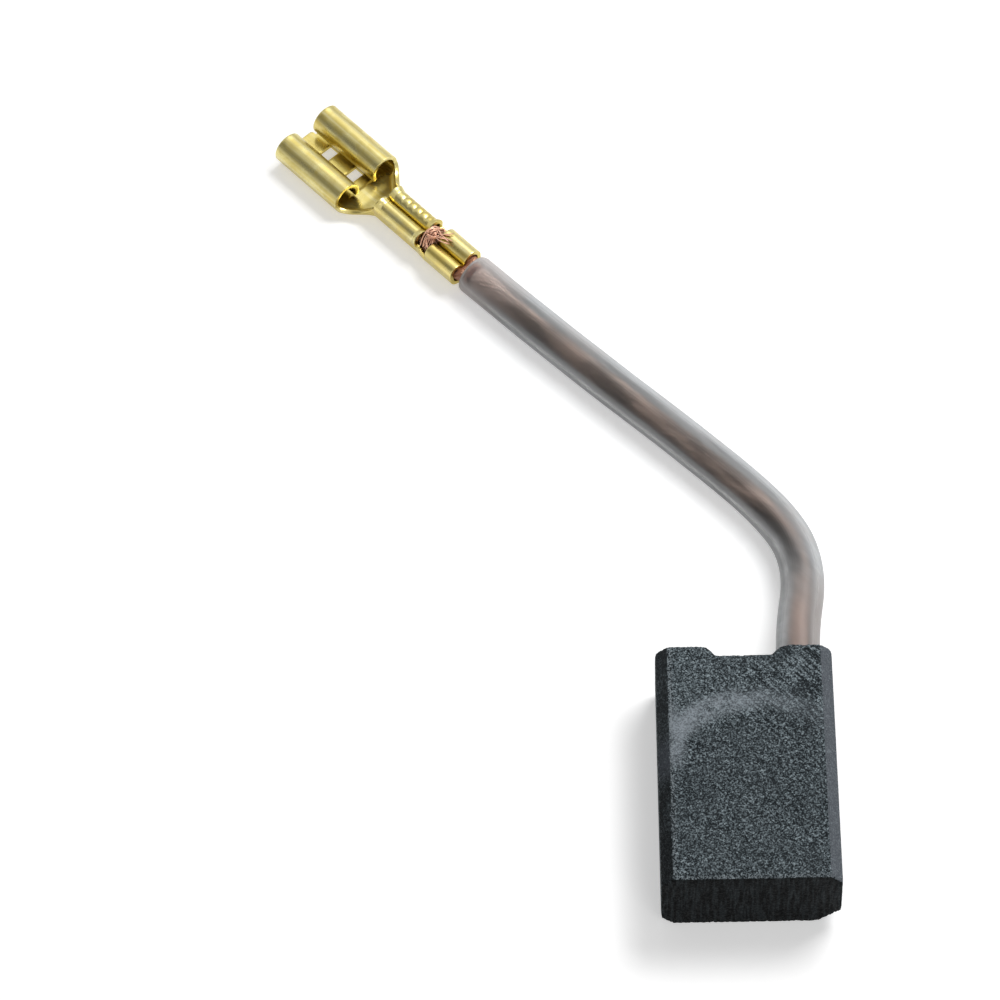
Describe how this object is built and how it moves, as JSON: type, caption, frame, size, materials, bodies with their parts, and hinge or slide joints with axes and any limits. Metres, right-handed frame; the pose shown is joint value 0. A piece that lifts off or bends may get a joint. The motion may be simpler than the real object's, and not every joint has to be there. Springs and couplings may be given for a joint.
{
  "type": "carbon brush",
  "caption": "Rectangular carbon brush block with a spring notch and a sleeved copper lead ending in a crimped brass blade receptacle.",
  "frame": {"origin": "middle of the block's broad back face, on which the brush lies", "axes": "+Y along the block from its contact face to the end that the lead leaves, +X across its width towards the lead's side, +Z out of its broad front face"},
  "size_m": [0.052, 0.0912, 0.008],
  "materials": {
    "carbon": "matte",
    "copper_powder": "matte",
    "copper": "satin",
    "sleeving": "satin",
    "brass": "satin"
  },
  "bodies": {
    "root": {"carbon_block": "carbon", "tamping_plug": "copper_powder", "shunt_wire": "copper", "sleeve": "sleeving", "receptacle_terminal": "brass"}
  },
  "joints": []
}
